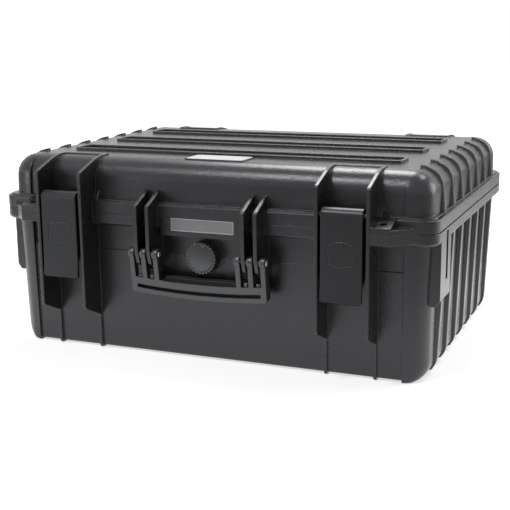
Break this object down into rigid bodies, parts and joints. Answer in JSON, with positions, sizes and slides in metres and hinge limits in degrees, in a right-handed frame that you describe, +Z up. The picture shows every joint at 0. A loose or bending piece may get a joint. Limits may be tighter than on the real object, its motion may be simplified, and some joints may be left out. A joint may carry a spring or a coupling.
{
  "type": "latched equipment case",
  "caption": "Wide waterproof equipment case with ribbed moulded shells, folded guard ribs, draw latches, a hinged lid, a fold-down front handle and a pressure valve knob.",
  "frame": {"origin": "on the ground under the middle of the closed case's bounding box", "axes": "+X along the width, to the right as seen from the front; +Y from the latched front to the hinged rear; +Z up"},
  "size_m": [0.56, 0.4772, 0.2462],
  "materials": {
    "case_plastic": "fine texture",
    "satin_plastic": "satin",
    "grip_rubber": "matte",
    "seal_rubber": "matte",
    "pin_steel": "satin",
    "plate_grey": "satin",
    "label_white": "semi-gloss"
  },
  "bodies": {
    "base": {"base_shell": "case_plastic", "front_name_plate": "plate_grey", "handle_pin_left": "pin_steel", "handle_pin_right": "pin_steel", "hinge_pin_left": "pin_steel", "hinge_pin_right": "pin_steel", "valve_body": "case_plastic", "valve_seal": "seal_rubber", "valve_nut": "case_plastic"},
    "lid": {"lid_shell": "case_plastic", "rim_seal": "seal_rubber", "lid_label_plate": "label_white", "latch_pin_left": "pin_steel", "latch_pin_right": "pin_steel"},
    "latch_left": {"latch_lever_left": "satin_plastic", "latch_inset_left": "satin_plastic", "latch_hook_pin_left": "pin_steel"},
    "latch_right": {"latch_lever_right": "satin_plastic", "latch_inset_right": "satin_plastic", "latch_hook_pin_right": "pin_steel"},
    "hook_left": {"latch_hook_left": "satin_plastic"},
    "hook_right": {"latch_hook_right": "satin_plastic"},
    "handle": {"carry_handle": "satin_plastic", "handle_grip": "grip_rubber"},
    "knob": {"valve_knob": "satin_plastic"}
  },
  "joints": [
    {"name": "lid_hinge", "type": "hinge", "parent": "base", "child": "lid", "pos_m": [0, 0.21875, 0.177], "axis": [-1, 0, 0], "range_deg": [0, 95]},
    {"name": "latch_lever_turn_left", "type": "hinge", "parent": "lid", "child": "latch_left", "pos_m": [-0.18025, -0.22875, 0.197], "axis": [-1, 0, 0], "range_deg": [0, 100]},
    {"name": "latch_hook_turn_left", "type": "hinge", "parent": "latch_left", "child": "hook_left", "pos_m": [-0.18025, -0.21525, 0.197], "axis": [-1, 0, 0], "range_deg": [-100, 0]},
    {"name": "latch_lever_turn_right", "type": "hinge", "parent": "lid", "child": "latch_right", "pos_m": [0.18025, -0.22875, 0.197], "axis": [-1, 0, 0], "range_deg": [0, 100]},
    {"name": "latch_hook_turn_right", "type": "hinge", "parent": "latch_right", "child": "hook_right", "pos_m": [0.18025, -0.21525, 0.197], "axis": [-1, 0, 0], "range_deg": [-100, 0]},
    {"name": "handle_swing", "type": "hinge", "parent": "base", "child": "handle", "pos_m": [0, -0.22655, 0.1347], "axis": [-1, 0, 0], "range_deg": [0, 100]},
    {"name": "valve_knob_turn", "type": "hinge", "parent": "base", "child": "knob", "pos_m": [0, -0.205, 0.1311], "axis": [0, -1, 0], "range_deg": [0, 180]}
  ],
  "couplings": [
    {"joint": "latch_hook_turn_left", "follows": "latch_lever_turn_left", "ratio": -1},
    {"joint": "latch_hook_turn_right", "follows": "latch_lever_turn_right", "ratio": -1}
  ]
}
